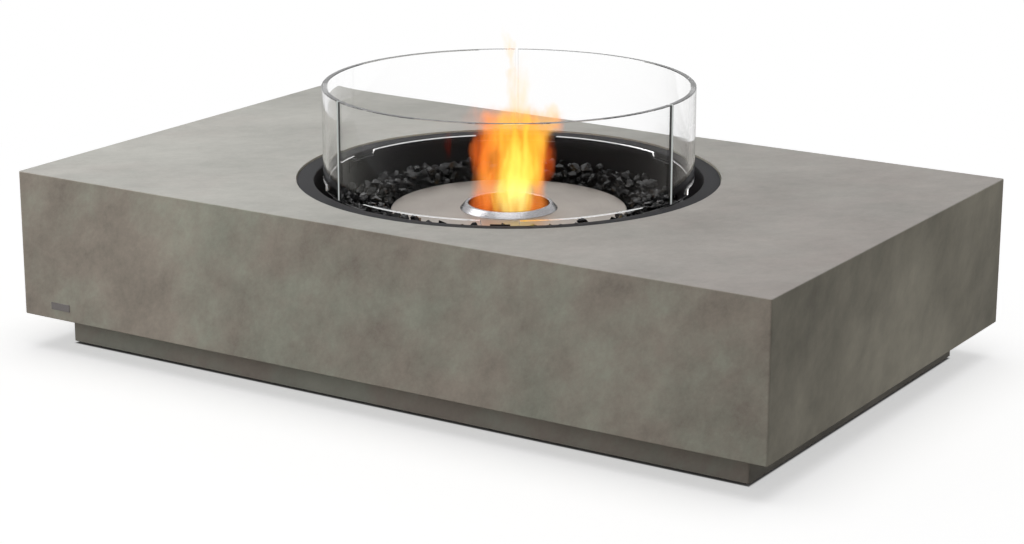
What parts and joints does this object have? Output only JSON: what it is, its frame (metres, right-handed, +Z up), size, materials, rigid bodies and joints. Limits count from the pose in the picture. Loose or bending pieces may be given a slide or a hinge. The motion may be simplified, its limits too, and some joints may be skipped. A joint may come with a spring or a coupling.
{
  "type": "fire pit table",
  "caption": "Low rectangular cast concrete table on a recessed plinth, with a round drop-in fire tray, lift-out burner, black glass charcoal and a curved clear glass screen.",
  "frame": {"origin": "on the floor under the middle of the table", "axes": "+X along the table's length, +Z up; -Y is the long side with the small bare plate"},
  "size_m": [1.25, 0.751, 0.409],
  "materials": {
    "cast_concrete": "matt sealed glass-fibre concrete, faint cloudy mottling",
    "plinth_concrete": "matt dark grey concrete",
    "brass_insert": "turned brass",
    "galvanised_steel": "hot-dip galvanised",
    "zinc_fastener": "zinc plated",
    "pad_rubber": "matt black rubber",
    "badge_metal": "fine brushed grey metal, bare",
    "tray_black": "fine satin heat-resistant powder coat, dark grey",
    "gasket_fibre": "soft ceramic fibre",
    "bracket_steel": "satin dark grey powder coat",
    "pad_silicone": "translucent silicone",
    "screen_glass": "clear toughened glass, ground edges",
    "burner_stainless": "fine brushed stainless steel",
    "wool_fibre": "matt ceramic wool",
    "collar_stainless": "polished stainless steel",
    "charcoal_glass": "broken black glass, glossy"
  },
  "bodies": {
    "table": {"table_shell": "cast_concrete", "plinth": "plinth_concrete", "shell_inserts": "brass_insert", "plinth_inserts": "brass_insert", "pad_inserts": "brass_insert", "frame_rail_front": "galvanised_steel", "frame_rail_back": "galvanised_steel", "frame_end_left": "galvanised_steel", "frame_end_right": "galvanised_steel", "frame_cross_left": "galvanised_steel", "frame_cross_right": "galvanised_steel", "frame_cross_inner_left": "galvanised_steel", "frame_cross_inner_right": "galvanised_steel", "heat_shield": "galvanised_steel", "shell_bolts": "zinc_fastener", "shell_washers": "zinc_fastener", "plinth_bolts": "zinc_fastener", "plinth_washers": "zinc_fastener", "pad_screws": "zinc_fastener", "shield_screws": "zinc_fastener", "floor_pads": "pad_rubber", "badge_plate": "badge_metal", "tray_gasket": "gasket_fibre"},
    "tray": {"fire_tray": "tray_black", "burner_well": "tray_black", "well_screws": "tray_black", "well_nuts": "zinc_fastener", "glass_bracket_1": "bracket_steel", "glass_bracket_2": "bracket_steel", "glass_bracket_3": "bracket_steel", "glass_bracket_4": "bracket_steel", "glass_bracket_5": "bracket_steel", "glass_bracket_6": "bracket_steel", "bracket_rivets": "bracket_steel", "glass_pads": "pad_silicone", "charcoal_1": "charcoal_glass", "charcoal_2": "charcoal_glass", "charcoal_3": "charcoal_glass", "charcoal_4": "charcoal_glass", "charcoal_5": "charcoal_glass", "charcoal_6": "charcoal_glass"},
    "glass_one": {"glass_panel_1": "screen_glass"},
    "glass_two": {"glass_panel_2": "screen_glass"},
    "glass_three": {"glass_panel_3": "screen_glass"},
    "burner": {"burner_top_plate": "burner_stainless", "burner_casing": "burner_stainless", "fuel_reservoir": "burner_stainless", "ceramic_wool": "wool_fibre", "perforated_disc": "burner_stainless", "burner_feet": "burner_stainless", "burner_screws": "burner_stainless"},
    "collar": {"burner_collar": "collar_stainless"}
  },
  "joints": [
    {"name": "tray_lift", "type": "slide", "parent": "table", "child": "tray", "axis": [0, 0, 1], "range_m": [0, 0.17]},
    {"name": "burner_lift", "type": "slide", "parent": "tray", "child": "burner", "axis": [0, 0, 1], "range_m": [0, 0.3]},
    {"name": "collar_lift", "type": "slide", "parent": "burner", "child": "collar", "axis": [0, 0, 1], "range_m": [0, 0.2]},
    {"name": "glass_lift_1", "type": "slide", "parent": "tray", "child": "glass_one", "axis": [0, 0, 1], "range_m": [0, 0.16]},
    {"name": "glass_lift_2", "type": "slide", "parent": "tray", "child": "glass_two", "axis": [0, 0, 1], "range_m": [0, 0.16]},
    {"name": "glass_lift_3", "type": "slide", "parent": "tray", "child": "glass_three", "axis": [0, 0, 1], "range_m": [0, 0.16]}
  ]
}
